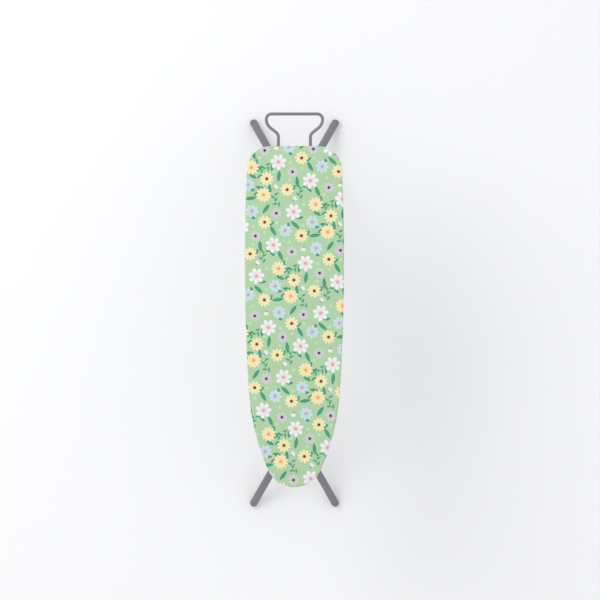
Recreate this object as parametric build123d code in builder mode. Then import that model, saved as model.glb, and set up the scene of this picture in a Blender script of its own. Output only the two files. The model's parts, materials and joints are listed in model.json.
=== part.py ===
from build123d import *
from math import atan, cos, degrees, radians, sin
import os

# An ironing board that stands on a scissor of two tube legs. Millimetres and degrees.
# +Y is the wide rear end with the iron rest, -Y the nose, +Z is up, and the feet stand on z = 0.

# Board outline: four tangent arcs on each side, from the nose tip round to the straight rear edge.
board_length = 1100.0
nose_y = -569.0
rear_y = nose_y + board_length
nose_radius, nose_turn = 92.5, 66.2
taper_radius, taper_turn = 752.0, 20.3
side_turn = 6.0
corner_radius, corner_turn = 78.0, 87.5

# Scissor legs: one tube size, two equal upper arms, so the sliding pivot runs straight.
leg_radius = 12.5
leg_wall = 1.0
leg_bend_radius = 110.0
crossing_y = -8.0
foot_reach = 619.0
pivot_reach = 320.0
leg_angle = 36.87
folded_angle = 3.5
tallest_angle = 46.0
foot_half_spacing = 132.5
outer_leg_x = 58.0
inner_leg_x = 30.0
foot_splay_in_plan = 29.5
foot_collar = 8.0
foot_spigot = 18.0
spigot_gap = 0.1
trim_margin = 1.0
outer_stretcher_at = 948.0
inner_stretcher_at = 888.0
stretcher_radius = 8.0
stretcher_wall = 1.2

# Layers of the top, measured from the face of the steel mesh.
pivot_drop = 46.0
mesh_thickness = 0.6
rim_radius = 8.0
rim_wall = 1.2
pad_thickness = 7.0
pad_edge_gap = 0.3
cover_thickness = 1.0
cover_gap = 0.1
cover_top_fillet = 6.0
cover_hem_fillet = 7.0
hem_width = 28.5
hem_gap = 0.3
elastic_radius = 1.5
elastic_gap = 0.2
elastic_drop = 17.4

# Cross braces: folded channels under the mesh, open upwards.
brace_width = 24.0
brace_depth = 15.0
brace_sheet = 1.2
rim_gap = 0.3
brace_y = {
    "hinge_brace": crossing_y - pivot_reach,
    "centre_brace": -60.0,
    "middle_brace": 210.0,
    "guide_brace": 345.0,
    "rear_brace": 474.0,
}

# Hinge of the outer leg.
pin_radius = 4.0
fit_gap = 0.05
press_gap = 0.02
pin_end_gap = 0.4
hinge_tube_radius = 11.0
hinge_tube_wall = 1.5
hinge_tube_half = 77.0
bracket_x = 78.5
bracket_sheet = 2.5
bracket_flange = 15.0
bush_flange = 1.2
bush_flange_lip = 1.5
bush_length = 16.0
pin_head_radius = 7.0
pin_head_height = 4.0

# Slide of the inner leg.
slide_tube_radius = 10.0
slide_tube_wall = 1.5
slide_tube_half = 98.0
rail_x = 85.0
rail_sheet = 2.5
rail_front_y = 198.0
rail_rear_y = 489.0
rail_tail = 17.5
rail_flange = 15.0
roller_radius = 12.0
roller_flange_radius = 15.5
roller_flange = 2.4
slot_gap = 0.3
slot_spare = 1.0
roller_flange_gap = 0.35
plug_length = 3.0

# Crossing bolt of the two legs.
washer_radius = 9.0
washer_gap = 0.3
washer_thickness = 2.0
spacer_radius = 7.0
bolt_end_gap = 0.1
nut_hold = 0.8
bolt_head_radius = 8.0
bolt_head_height = 5.0
nut_width = 14.0

# Height clamp: a plate lever that grips a fixed rod, carried by a yoke on the sliding tube.
rod_rise = 18.0
rod_front_y = 197.0
rod_rear_y = 497.0
rod_bracket_half = 11.0
rod_bracket_tail = 7.0
rod_bracket_rear_y = 492.5
rod_bracket_rear_foot = 28.5
rod_bracket_front_y = 199.0
rod_bracket_front_foot = 22.0
rod_chamfer = 0.8
yoke_half_width = 12.0
yoke_half_length = 20.0
yoke_sheet = 2.5
yoke_top = 25.0
yoke_bottom = 13.0
yoke_wall_foot = 10.8
yoke_gap = 0.1
lever_pin_radius = 2.0
lever_pin_end_gap = 0.2
lever_pin_head = 1.2
lever_pin_y = 13.5
lever_pin_rise = 6.0
lever_hub_radius = 4.0
lever_tilt = 8.0
lever_sheet = 3.0
lever_head_half = 8.0
lever_stem_half = 5.0
lever_head_foot = 5.5
lever_rise = 18.0
lever_reach = 32.0
lever_rod_hole = 4.6
lever_bar_radius = 4.0
lever_bar_left = -8.0
lever_bar_right = 146.0
grip_radius = 8.0
grip_left = 92.0
grip_right = 150.0
grip_rounding = 3.0
grip_end_gap = 0.2
spring_wire = 0.35
spring_radius = 3.0
spring_pitch = 0.9
spring_length = 3.2

# Iron rest: a bent wire that slides in four guide blocks.
rest_wire = 5.0
rest_drop = 25.0
rest_prong_x = 51.7
rest_side_x = 90.8
rest_first_bend = 38.0
rest_second_bend = 69.0
rest_bar_out = 103.5
rest_bend_radii = [20.0, 35.0, 17.0]
rest_inner_y = 318.0
guide_half_width = 8.5
guide_half_ears = 17.0
guide_length = 24.0
guide_ear = 4.0
guide_screw_x = 12.7
guide_floor = 1.5
guide_corner = 2.0
guide_ear_corner = 3.0
collar_radius = 8.0
collar_length = 10.0
collar_gap = 0.5
collar_chamfer = 0.6

# Rivets and screws.
fastener_radius = 1.9
hole_radius = 2.0
rivet_head_radius = 4.0
rivet_head_height = 1.6
screw_head_height = 2.4
fastener_gap = 0.1

# Worked out from the dimensions above.
upper_arm = pivot_reach / cos(radians(leg_angle))
lower_arm = foot_reach / cos(radians(leg_angle))
leg_length = upper_arm + lower_arm
pivot_z = leg_radius + leg_length * sin(radians(leg_angle))
crossing_z = leg_radius + lower_arm * sin(radians(leg_angle))
deck_z = pivot_z + pivot_drop
hinge_y = crossing_y - pivot_reach
slide_y = crossing_y + pivot_reach
slide_folded_y = hinge_y + 2 * upper_arm * cos(radians(folded_angle))
slide_tallest_y = hinge_y + 2 * upper_arm * cos(radians(tallest_angle))
brace_floor = deck_z - mesh_thickness - brace_depth
rim_inset = cover_thickness + 0.5 + rim_radius
rod_z = pivot_z + rod_rise
rest_z = deck_z - rest_drop
splay = degrees(atan(sin(radians(foot_splay_in_plan)) / cos(radians(foot_splay_in_plan))
                     * cos(radians(leg_angle))))

headings = [0.0, nose_turn, nose_turn + taper_turn, nose_turn + taper_turn + side_turn, 180.0]
rises = [cos(radians(a)) - cos(radians(b)) for a, b in zip(headings, headings[1:])]
side_radius = (board_length - nose_radius * rises[0] - taper_radius * rises[1]
               - corner_radius * rises[3]) / rises[2]


def save(part, name):
    """Label a finished piece and write it as its own STEP file."""
    part.label = name
    export_step(part, f"parts/{name}.step")


def board_outline(inset, height=0.0):
    """The closed outline of the top, moved inwards by the inset and lying at a height."""
    with BuildLine(Plane.XY.offset(height)) as line:
        nose = JernArc((0, nose_y + inset), (1, 0), nose_radius - inset, nose_turn)
        taper = JernArc(nose @ 1, nose % 1, taper_radius - inset, taper_turn)
        side = JernArc(taper @ 1, taper % 1, side_radius - inset, side_turn)
        corner = JernArc(side @ 1, side % 1, corner_radius - inset, corner_turn)
        Line(corner @ 1, (0, rear_y - inset))
        mirror(about=Plane.YZ)
    return line.line


def slab(inset, floor, height):
    """A solid of the outline's shape, standing on the height named floor."""
    outline = board_outline(inset)
    with BuildPart() as body:
        with BuildSketch(Plane.XY.offset(floor)):
            add(outline)
            make_face()
        extrude(amount=height)
    return body


def ring_tube(inset, height, radius, bore):
    """A tube that follows the outline all the way round."""
    outline = board_outline(inset, height)
    start = Plane(origin=(0, rear_y - inset, height), x_dir=(0, 1, 0), z_dir=(1, 0, 0))
    with BuildPart() as tube:
        with BuildLine() as path:
            add(outline)
        with BuildSketch(start):
            Circle(radius)
            if bore:
                Circle(bore, mode=Mode.SUBTRACT)
        sweep(path=path.wires()[0])
    return tube


def across(start_x, end_x, y, z, radius, bore=0.0):
    """A round bar or tube along X."""
    with BuildPart() as bar:
        with BuildSketch(Plane.YZ.offset(start_x)):
            with Locations((y, z)):
                Circle(radius)
                if bore:
                    Circle(bore, mode=Mode.SUBTRACT)
        extrude(amount=end_x - start_x)
    return bar


def domed_pin(start_x, end_x, y, z, radius, head_radius, head_height, heads):
    """A pin along X with a domed head at each end that heads names with -1 or 1."""
    with BuildPart() as pin:
        with BuildSketch(Plane.YZ.offset(start_x)):
            with Locations((y, z)):
                Circle(radius)
        extrude(amount=end_x - start_x)
        for end in heads:
            head_face = start_x if end < 0 else end_x
            with BuildSketch(Plane(origin=(head_face, y, z), z_dir=(end, 0, 0))):
                Circle(head_radius)
            extrude(amount=head_height)
            fillet(pin.edges().sort_by(Axis.X)[0 if end < 0 else -1], radius=head_height * 0.7)
    return pin


# The top

with BuildPart() as deck:
    add(slab(rim_inset + rim_radius / 2 - rim_gap, deck_z - mesh_thickness, mesh_thickness).part)
save(deck.part, "steel_mesh_deck")

rim = ring_tube(rim_inset, deck_z - rim_radius, rim_radius, rim_radius - rim_wall)
save(rim.part, "rim_tube")

pad = slab(cover_thickness + pad_edge_gap, deck_z, pad_thickness)
with pad:
    fillet(pad.faces().sort_by(Axis.Z)[-1].edges(), radius=cover_top_fillet)
save(pad.part, "felt_pad")

hem_floor = deck_z - 2 * rim_radius - hem_gap - cover_thickness
cover_height = deck_z + pad_thickness + cover_gap + cover_thickness - hem_floor
cover_core = slab(cover_thickness, hem_floor + cover_thickness, cover_height - 2 * cover_thickness)
with cover_core:
    fillet(cover_core.faces().sort_by(Axis.Z)[-1].edges(), radius=cover_top_fillet - cover_thickness)
    fillet(cover_core.faces().sort_by(Axis.Z)[0].edges(), radius=cover_hem_fillet - cover_thickness)
hem_opening = slab(hem_width, hem_floor - cover_thickness, 3 * cover_thickness)
cover = slab(0.0, hem_floor, cover_height)
with cover:
    fillet(cover.faces().sort_by(Axis.Z)[-1].edges(), radius=cover_top_fillet)
    fillet(cover.faces().sort_by(Axis.Z)[0].edges(), radius=cover_hem_fillet)
    add(cover_core.part, mode=Mode.SUBTRACT)
    add(hem_opening.part, mode=Mode.SUBTRACT)
save(cover.part, "cotton_cover")

elastic = ring_tube(hem_width + elastic_radius + elastic_gap, deck_z - elastic_drop, elastic_radius, 0.0)
save(elastic.part, "hem_elastic")

# Cross braces, with the holes for what hangs from each of them

sides = {"left": -1, "right": 1}
rail_rivet_x = rail_x + rail_flange / 2
bracket_rivet_x = bracket_x + bracket_flange / 2
bracket_rivet_y = 7.0
rod_rivet_x = 7.0
rivet_points = [(side * bracket_rivet_x, hinge_y + step) for side in (-1, 1)
                for step in (-bracket_rivet_y, bracket_rivet_y)]
rivet_points += [(side * rail_rivet_x, brace_y[name]) for side in (-1, 1)
                 for name in ("middle_brace", "guide_brace", "rear_brace")]
rod_rivet_points = [(side * rod_rivet_x, brace_y[name]) for side in (-1, 1)
                    for name in ("middle_brace", "rear_brace")]
screw_points = [(side * rest_prong_x + step, brace_y[name]) for side in (-1, 1)
                for step in (-guide_screw_x, guide_screw_x)
                for name in ("guide_brace", "rear_brace")]
hole_points = rivet_points + rod_rivet_points + screw_points

brace_area = board_outline(rim_inset + rim_radius + rim_gap)
for name, centre_y in brace_y.items():
    holes = [(x, y) for x, y in hole_points if abs(y - centre_y) < brace_width / 2]
    with BuildPart() as brace:
        with BuildSketch(Plane.XY.offset(brace_floor)):
            add(brace_area)
            make_face()
            with Locations((0, centre_y)):
                Rectangle(board_length, brace_width, mode=Mode.INTERSECT)
        extrude(amount=brace_depth)
        with BuildSketch(Plane.XY.offset(brace_floor + brace_sheet)):
            with Locations((0, centre_y)):
                Rectangle(board_length, brace_width - 2 * brace_sheet)
        extrude(amount=brace_depth, mode=Mode.SUBTRACT)
        if holes:
            with BuildSketch(Plane.XY.offset(brace_floor)):
                with Locations(*holes):
                    Circle(hole_radius)
            extrude(amount=brace_sheet, mode=Mode.SUBTRACT)
    save(brace.part, name)

# Hinge brackets of the outer leg, each an angle with a rounded tail

for name, side in sides.items():
    bracket_rise = brace_floor - pivot_z
    flange_x = side * (bracket_x + bracket_flange / 2)
    with BuildPart() as bracket:
        with BuildSketch(Plane.YZ.offset(side * (bracket_x + bracket_sheet / 2))):
            with Locations((hinge_y, pivot_z + bracket_rise / 2)):
                Rectangle(brace_width, bracket_rise)
            with Locations((hinge_y, pivot_z)):
                Circle(brace_width / 2)
                Circle(pin_radius + fit_gap, mode=Mode.SUBTRACT)
        extrude(amount=bracket_sheet / 2, both=True)
        with BuildSketch(Plane.XY.offset(brace_floor - bracket_sheet)):
            with Locations((flange_x, hinge_y)):
                Rectangle(bracket_flange, brace_width)
            with Locations(*[point for point in rivet_points if point[0] * side > 0]):
                Circle(hole_radius, mode=Mode.SUBTRACT)
        extrude(amount=bracket_sheet)
    save(bracket.part, f"{name}_hinge_bracket")

hinge_pin_half = bracket_x + bracket_sheet + pin_end_gap
hinge_pin = domed_pin(-hinge_pin_half, hinge_pin_half, hinge_y, pivot_z, pin_radius,
                      pin_head_radius, pin_head_height, (-1, 1))
save(hinge_pin.part, "hinge_pin")

# Slide rails: a slotted web that hangs from a flange

slot_centre_y = (slide_folded_y + slide_tallest_y) / 2
slot_length = slide_folded_y - slide_tallest_y + 2 * (roller_radius + slot_gap) + slot_spare
rail_length = rail_rear_y - rail_front_y
rail_centre_y = (rail_front_y + rail_rear_y) / 2
rail_height = brace_floor - pivot_z + rail_tail
for name, side in sides.items():
    with BuildPart() as rail:
        with BuildSketch(Plane.YZ.offset(side * rail_x)):
            with Locations((rail_centre_y, brace_floor - rail_height / 2)):
                Rectangle(rail_length, rail_height)
            with Locations((slot_centre_y, pivot_z)):
                SlotOverall(slot_length, 2 * (roller_radius + slot_gap), mode=Mode.SUBTRACT)
        extrude(amount=rail_sheet / 2, both=True)
        with BuildSketch(Plane.XY.offset(brace_floor - rail_sheet)):
            with Locations((side * (rail_x + rail_flange / 2), rail_centre_y)):
                Rectangle(rail_flange, rail_length)
            with Locations(*[(side * rail_rivet_x, brace_y[brace])
                             for brace in ("middle_brace", "guide_brace", "rear_brace")]):
                Circle(hole_radius, mode=Mode.SUBTRACT)
        extrude(amount=rail_sheet)
        tails = rail.edges().filter_by(Axis.X).group_by(Axis.Z)[0]
        fillet(tails, radius=rail_tail / 2)
    save(rail.part, f"{name}_slide_rail")

# The rod that the height clamp grips, and its two brackets

lock_rod = BuildPart()
with lock_rod:
    with BuildSketch(Plane(origin=(0, rod_front_y, rod_z), z_dir=(0, 1, 0))):
        Circle(pin_radius)
    extrude(amount=rod_rear_y - rod_front_y)
    chamfer(lock_rod.edges().filter_by(GeomType.CIRCLE), length=rod_chamfer)
save(lock_rod.part, "lock_rod")


def rod_bracket(foot_start_y, foot_end_y, wall_y, rivet_y):
    """An angle under a brace, with a wall that holds one end of the rod."""
    with BuildPart() as bracket:
        with BuildSketch(Plane.XY.offset(brace_floor - bracket_sheet)):
            with Locations((0, (foot_start_y + foot_end_y) / 2)):
                Rectangle(2 * rod_bracket_half, foot_end_y - foot_start_y)
            with Locations((-rod_rivet_x, rivet_y), (rod_rivet_x, rivet_y)):
                Circle(hole_radius, mode=Mode.SUBTRACT)
        extrude(amount=bracket_sheet)
        wall_height = brace_floor - rod_z
        with BuildSketch(Plane(origin=(0, wall_y, rod_z), x_dir=(-1, 0, 0), z_dir=(0, 1, 0))):
            with Locations((0, wall_height / 2)):
                Rectangle(2 * rod_bracket_half, wall_height)
            with Locations((0, -rod_bracket_tail / 2)):
                Rectangle(2 * rod_bracket_half, rod_bracket_tail)
            Circle(pin_radius + fit_gap, mode=Mode.SUBTRACT)
        extrude(amount=bracket_sheet)
    return bracket


front_rod_bracket = rod_bracket(rod_bracket_front_y, rod_bracket_front_y + rod_bracket_front_foot,
                                rod_bracket_front_y, brace_y["middle_brace"])
save(front_rod_bracket.part, "front_rod_bracket")
rear_rod_bracket = rod_bracket(rod_bracket_rear_y - rod_bracket_rear_foot, rod_bracket_rear_y + bracket_sheet,
                               rod_bracket_rear_y, brace_y["rear_brace"])
save(rear_rod_bracket.part, "rear_rod_bracket")

# Guide blocks of the iron rest, each with two screw ears

guide_depth = brace_floor - (rest_z - rest_wire - guide_floor)
for name, side in sides.items():
    for place, brace in (("front", "guide_brace"), ("rear", "rear_brace")):
        centre = (side * rest_prong_x, brace_y[brace])
        with BuildPart() as guide:
            with BuildSketch(Plane.XY.offset(brace_floor - guide_depth)):
                with Locations(centre):
                    RectangleRounded(2 * guide_half_width, guide_length, radius=guide_corner)
            extrude(amount=guide_depth)
            with BuildSketch(Plane.XY.offset(brace_floor - guide_ear)):
                with Locations(centre):
                    RectangleRounded(2 * guide_half_ears, guide_length / 2, radius=guide_ear_corner)
            extrude(amount=guide_ear)
            with BuildSketch(Plane.XY.offset(brace_floor - guide_ear)):
                with Locations(*[(centre[0] + step, centre[1]) for step in (-guide_screw_x, guide_screw_x)]):
                    Circle(hole_radius)
            extrude(amount=guide_ear, mode=Mode.SUBTRACT)
            bore_plane = Plane(origin=(centre[0], centre[1], rest_z), z_dir=(0, 1, 0))
            with BuildSketch(bore_plane):
                Circle(rest_wire + fit_gap)
            extrude(amount=guide_length, both=True, mode=Mode.SUBTRACT)
        save(guide.part, f"{name}_{place}_rest_guide")

# Rivets and screws, one node of each


def fasteners(points, clamped, head_radius, head_height):
    """Shanks that come up through the clamped sheet and the brace, with a head below it."""
    underside = brace_floor - clamped - fastener_gap
    shank = clamped + brace_sheet + 2 * fastener_gap
    with BuildPart() as group:
        with BuildSketch(Plane.XY.offset(underside)):
            with Locations(*points):
                Circle(fastener_radius)
        extrude(amount=shank)
        with BuildSketch(Plane.XY.offset(underside - head_height)):
            with Locations(*points):
                Circle(head_radius)
        extrude(amount=head_height)
        fillet(group.edges().group_by(Axis.Z)[0], radius=head_height * 0.6)
        with BuildSketch(Plane.XY.offset(underside + shank)):
            with Locations(*points):
                Circle(head_radius * 0.8)
        extrude(amount=head_height / 2)
    return group


rivets = fasteners(rivet_points + rod_rivet_points, bracket_sheet, rivet_head_radius, rivet_head_height)
save(rivets.part, "frame_rivets")
screws = fasteners(screw_points, guide_ear, rivet_head_radius, screw_head_height)
save(screws.part, "guide_screws")

# The iron rest

rest_half = [
    (rest_prong_x, rest_inner_y),
    (rest_prong_x, rear_y + rest_first_bend),
    (rest_side_x, rear_y + rest_second_bend),
    (rest_side_x, rear_y + rest_bar_out),
]
rest_route = rest_half + [(-x, y) for x, y in reversed(rest_half)]
with BuildPart() as rest:
    with BuildLine(Plane.XY.offset(rest_z)) as rest_path:
        FilletPolyline(*rest_route, radius=rest_bend_radii + rest_bend_radii[::-1])
    with BuildSketch(Plane(origin=(rest_prong_x, rest_inner_y, rest_z), z_dir=(0, 1, 0))):
        Circle(rest_wire)
    sweep(path=rest_path.wires()[0])
save(rest.part, "iron_rest_wire")

collar_end_y = brace_y["guide_brace"] - guide_length / 2 - collar_gap
for name, side in sides.items():
    with BuildPart() as collar:
        with BuildSketch(Plane(origin=(side * rest_prong_x, collar_end_y, rest_z), z_dir=(0, -1, 0))):
            Circle(collar_radius)
            Circle(rest_wire + press_gap, mode=Mode.SUBTRACT)
        extrude(amount=collar_length)
        chamfer(collar.edges().filter_by(GeomType.CIRCLE), length=collar_chamfer)
    save(collar.part, f"{name}_stop_collar")

# Legs. A leg's plane holds +X and the line from its top pivot down to its feet.


def leg_plane(pivot_y, heading):
    """The plane of a leg whose feet lie in the direction heading (1 rear, -1 front)."""
    drop = sin(radians(leg_angle))
    return Plane(origin=(0, pivot_y, pivot_z), x_dir=(1, 0, 0),
                 z_dir=(0, drop, heading * cos(radians(leg_angle))))


def leg_tube(plane, side, spacing, top_radius):
    """One leg: straight from the top tube, then bent outwards to its foot."""
    bend_at = leg_length - (foot_half_spacing - spacing) / sin(radians(splay)) * cos(radians(splay))
    end_along = leg_length - foot_collar * cos(radians(splay))
    end_across = foot_half_spacing - foot_collar * sin(radians(splay))
    bolt = plane.from_local_coords((0, upper_arm, 0))
    with BuildPart() as tube:
        with BuildLine(plane) as path:
            FilletPolyline((side * spacing, top_radius / 2), (side * spacing, bend_at),
                           (side * end_across, end_along), radius=leg_bend_radius)
        with BuildSketch(Plane(origin=path.line @ 0, z_dir=path.line % 0)):
            Circle(leg_radius)
            Circle(leg_radius - leg_wall, mode=Mode.SUBTRACT)
        sweep(path=path.wires()[0])
        with BuildSketch(Plane.YZ):
            with Locations((plane.origin.Y, plane.origin.Z)):
                Circle(top_radius + fit_gap)
            with Locations((bolt.Y, bolt.Z)):
                Circle(pin_radius + fit_gap)
        extrude(amount=side * 3 * outer_leg_x, mode=Mode.SUBTRACT)
    return tube


def stretcher(plane, along, spacing):
    """A thin tube between the two leg tubes, shaped at its ends to sit against them."""
    centre = plane.from_local_coords((0, along, 0))
    with BuildPart() as tube:
        with BuildSketch(Plane.YZ.offset(-spacing)):
            with Locations((centre.Y, centre.Z)):
                Circle(stretcher_radius)
                Circle(stretcher_radius - stretcher_wall, mode=Mode.SUBTRACT)
        extrude(amount=2 * spacing)
        for side in (-1, 1):
            seat = plane.from_local_coords((side * spacing, along, 0))
            with BuildSketch(Plane(origin=seat, x_dir=(1, 0, 0), z_dir=plane.y_dir)):
                Circle(leg_radius + fit_gap)
            extrude(amount=3 * stretcher_radius, both=True, mode=Mode.SUBTRACT)
    return tube


def foot(plane, side):
    """A domed end cap with a spigot that fits inside the leg tube."""
    end = plane.from_local_coords((side * foot_half_spacing, leg_length, 0))
    axis = plane.x_dir * (side * sin(radians(splay))) + plane.y_dir * cos(radians(splay))
    base = Plane(origin=end, z_dir=axis)
    with BuildPart() as cap:
        with Locations(base):
            Sphere(leg_radius)
        with BuildSketch(base):
            Circle(leg_radius)
        extrude(amount=-foot_collar)
        with BuildSketch(base.offset(-foot_collar)):
            Circle(leg_radius + trim_margin)
        extrude(amount=-2 * leg_radius, mode=Mode.SUBTRACT)
        with BuildSketch(base.offset(-foot_collar)):
            Circle(leg_radius - leg_wall - spigot_gap)
        extrude(amount=-foot_spigot)
    return cap


legs = {
    "outer": (leg_plane(hinge_y, 1), outer_leg_x, hinge_tube_radius, outer_stretcher_at, "rear"),
    "inner": (leg_plane(slide_y, -1), inner_leg_x, slide_tube_radius, inner_stretcher_at, "front"),
}
for leg, (plane, spacing, top_radius, stretcher_at, end) in legs.items():
    for name, side in sides.items():
        tube = leg_tube(plane, side, spacing, top_radius)
        save(tube.part, f"{leg}_leg_{name}")
        cap = foot(plane, side)
        save(cap.part, f"{end}_foot_{name}")
    bar = stretcher(plane, stretcher_at, spacing)
    save(bar.part, f"{leg}_leg_stretcher")

hinge_tube = across(-hinge_tube_half, hinge_tube_half, hinge_y, pivot_z, hinge_tube_radius,
                    hinge_tube_radius - hinge_tube_wall)
save(hinge_tube.part, "outer_leg_top_tube")

slide_tube = across(-slide_tube_half, slide_tube_half, slide_y, pivot_z, slide_tube_radius,
                    slide_tube_radius - slide_tube_wall)
save(slide_tube.part, "inner_leg_top_tube")

for name, side in sides.items():
    inner_radius = hinge_tube_radius - hinge_tube_wall
    with BuildPart() as bush:
        with BuildSketch(Plane.YZ.offset(side * hinge_tube_half)):
            with Locations((hinge_y, pivot_z)):
                Circle(inner_radius + bush_flange_lip)
        extrude(amount=side * bush_flange)
        with BuildSketch(Plane.YZ.offset(side * hinge_tube_half)):
            with Locations((hinge_y, pivot_z)):
                Circle(inner_radius - press_gap)
        extrude(amount=-side * bush_length)
        with BuildSketch(Plane.YZ):
            with Locations((hinge_y, pivot_z)):
                Circle(pin_radius + fit_gap)
        extrude(amount=side * 2 * hinge_tube_half, mode=Mode.SUBTRACT)
    save(bush.part, f"{name}_hinge_bush")

for name, side in sides.items():
    with BuildPart() as roller:
        for radius, reach in ((roller_radius, rail_sheet / 2 + roller_flange_gap + roller_flange),
                              (roller_flange_radius, rail_sheet / 2 + roller_flange_gap + roller_flange)):
            with BuildSketch(Plane.YZ.offset(side * rail_x)):
                with Locations((slide_y, pivot_z)):
                    Circle(radius)
            extrude(amount=reach, both=True)
        with BuildSketch(Plane.YZ.offset(side * rail_x)):
            with Locations((slide_y, pivot_z)):
                Circle(roller_flange_radius + trim_margin)
                Circle(roller_radius, mode=Mode.SUBTRACT)
        extrude(amount=rail_sheet / 2 + roller_flange_gap, both=True, mode=Mode.SUBTRACT)
        with BuildSketch(Plane.YZ.offset(side * rail_x)):
            with Locations((slide_y, pivot_z)):
                Circle(slide_tube_radius + press_gap)
        extrude(amount=2 * roller_radius, both=True, mode=Mode.SUBTRACT)
    save(roller.part, f"{name}_slide_roller")

for name, side in sides.items():
    with BuildPart() as plug:
        with BuildSketch(Plane.YZ.offset(side * slide_tube_half)):
            with Locations((slide_y, pivot_z)):
                Circle(slide_tube_radius)
        extrude(amount=side * plug_length)
        fillet(plug.edges().sort_by(Axis.X)[-1 if side > 0 else 0], radius=plug_length * 0.7)
        with BuildSketch(Plane.YZ.offset(side * slide_tube_half)):
            with Locations((slide_y, pivot_z)):
                Circle(slide_tube_radius - slide_tube_wall - press_gap)
        extrude(amount=-side * bush_length / 2)
    save(plug.part, f"{name}_tube_plug")

# The crossing: one bolt through all four tubes

outer_side = outer_leg_x + leg_radius
inner_gap = outer_leg_x - inner_leg_x - 2 * leg_radius
head_x = outer_side + washer_gap + washer_thickness + bolt_end_gap
bolt = domed_pin(-head_x, head_x + nut_hold * nut_width / 2, crossing_y, crossing_z, pin_radius,
                 bolt_head_radius, bolt_head_height, (-1,))
save(bolt.part, "crossing_bolt")

with BuildPart() as nut:
    with BuildSketch(Plane.YZ.offset(head_x)):
        with Locations((crossing_y, crossing_z)):
            RegularPolygon(nut_width / 2, 6, major_radius=False)
            Circle(pin_radius + press_gap, mode=Mode.SUBTRACT)
    extrude(amount=nut_width / 2)
save(nut.part, "crossing_nut")

washer_spans = [
    (outer_side + washer_gap, outer_side + washer_gap + washer_thickness),
    (inner_leg_x + leg_radius + washer_gap, inner_leg_x + leg_radius + inner_gap - washer_gap),
]
with BuildPart() as washers:
    for near, far in washer_spans:
        for side in (-1, 1):
            with BuildSketch(Plane.YZ.offset(side * near)):
                with Locations((crossing_y, crossing_z)):
                    Circle(washer_radius)
                    Circle(pin_radius + fit_gap, mode=Mode.SUBTRACT)
            extrude(amount=side * (far - near))
save(washers.part, "crossing_washers")

spacer_half = inner_leg_x - leg_radius - washer_gap
spacer = across(-spacer_half, spacer_half, crossing_y, crossing_z, spacer_radius, pin_radius + fit_gap)
save(spacer.part, "crossing_spacer")

# Height clamp: the yoke turns on the sliding tube and stays level along the rod

with BuildPart() as yoke:
    yoke_middle = (yoke_top - yoke_bottom) / 2
    with Locations((0, slide_y, pivot_z + yoke_middle)):
        Box(2 * yoke_half_width, 2 * yoke_half_length, yoke_top + yoke_bottom)
        Box(2 * (yoke_half_width - yoke_sheet), 2 * (yoke_half_length - yoke_sheet),
            2 * yoke_top, mode=Mode.SUBTRACT)
    with Locations((0, slide_y, pivot_z + yoke_wall_foot)):
        Box(2 * (yoke_half_width - yoke_sheet), 3 * yoke_half_length, 2 * (yoke_wall_foot + yoke_bottom),
            align=(Align.CENTER, Align.CENTER, Align.MAX), mode=Mode.SUBTRACT)
    with BuildSketch(Plane.YZ.offset(-yoke_half_width)):
        with Locations((slide_y, pivot_z)):
            Circle(slide_tube_radius + yoke_gap)
        with Locations((slide_y + lever_pin_y, pivot_z + lever_pin_rise)):
            Circle(lever_pin_radius + fit_gap)
    extrude(amount=2 * yoke_half_width, mode=Mode.SUBTRACT)
    with BuildSketch(Plane(origin=(0, slide_y - yoke_half_length, rod_z), z_dir=(0, 1, 0))):
        Circle(pin_radius + yoke_gap)
    extrude(amount=2 * yoke_half_length, mode=Mode.SUBTRACT)
    fillet(yoke.edges().filter_by(Axis.X).group_by(Axis.Z)[0], radius=yoke_sheet)
save(yoke.part, "clamp_yoke")

lever_pin_at = (slide_y + lever_pin_y, pivot_z + lever_pin_rise)
lever_pin_half = yoke_half_width + lever_pin_end_gap
lever_pin = domed_pin(-lever_pin_half, lever_pin_half, *lever_pin_at, lever_pin_radius,
                      lever_pin_radius + lever_pin_head, lever_pin_head, (-1, 1))
save(lever_pin.part, "lever_pin")

spring_middle = (lever_stem_half + yoke_half_width - yoke_sheet) / 2
coils = []
for side in (-1, 1):
    spring_start = (side * spring_middle - spring_length / 2, *lever_pin_at)
    with BuildPart() as coil:
        with BuildLine() as helix:
            Helix(spring_pitch, spring_length, spring_radius, center=spring_start, direction=(1, 0, 0))
        with BuildSketch(Plane(origin=helix.line @ 0, z_dir=helix.line % 0)):
            Circle(spring_wire)
        sweep(path=helix.wires()[0], is_frenet=True)
    coils.append(coil.part)
with BuildPart() as spring:
    add(coils)
save(spring.part, "lever_spring")

# The lever's own plane: x to the right, y up along the tilted plate, z through the plate

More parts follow.
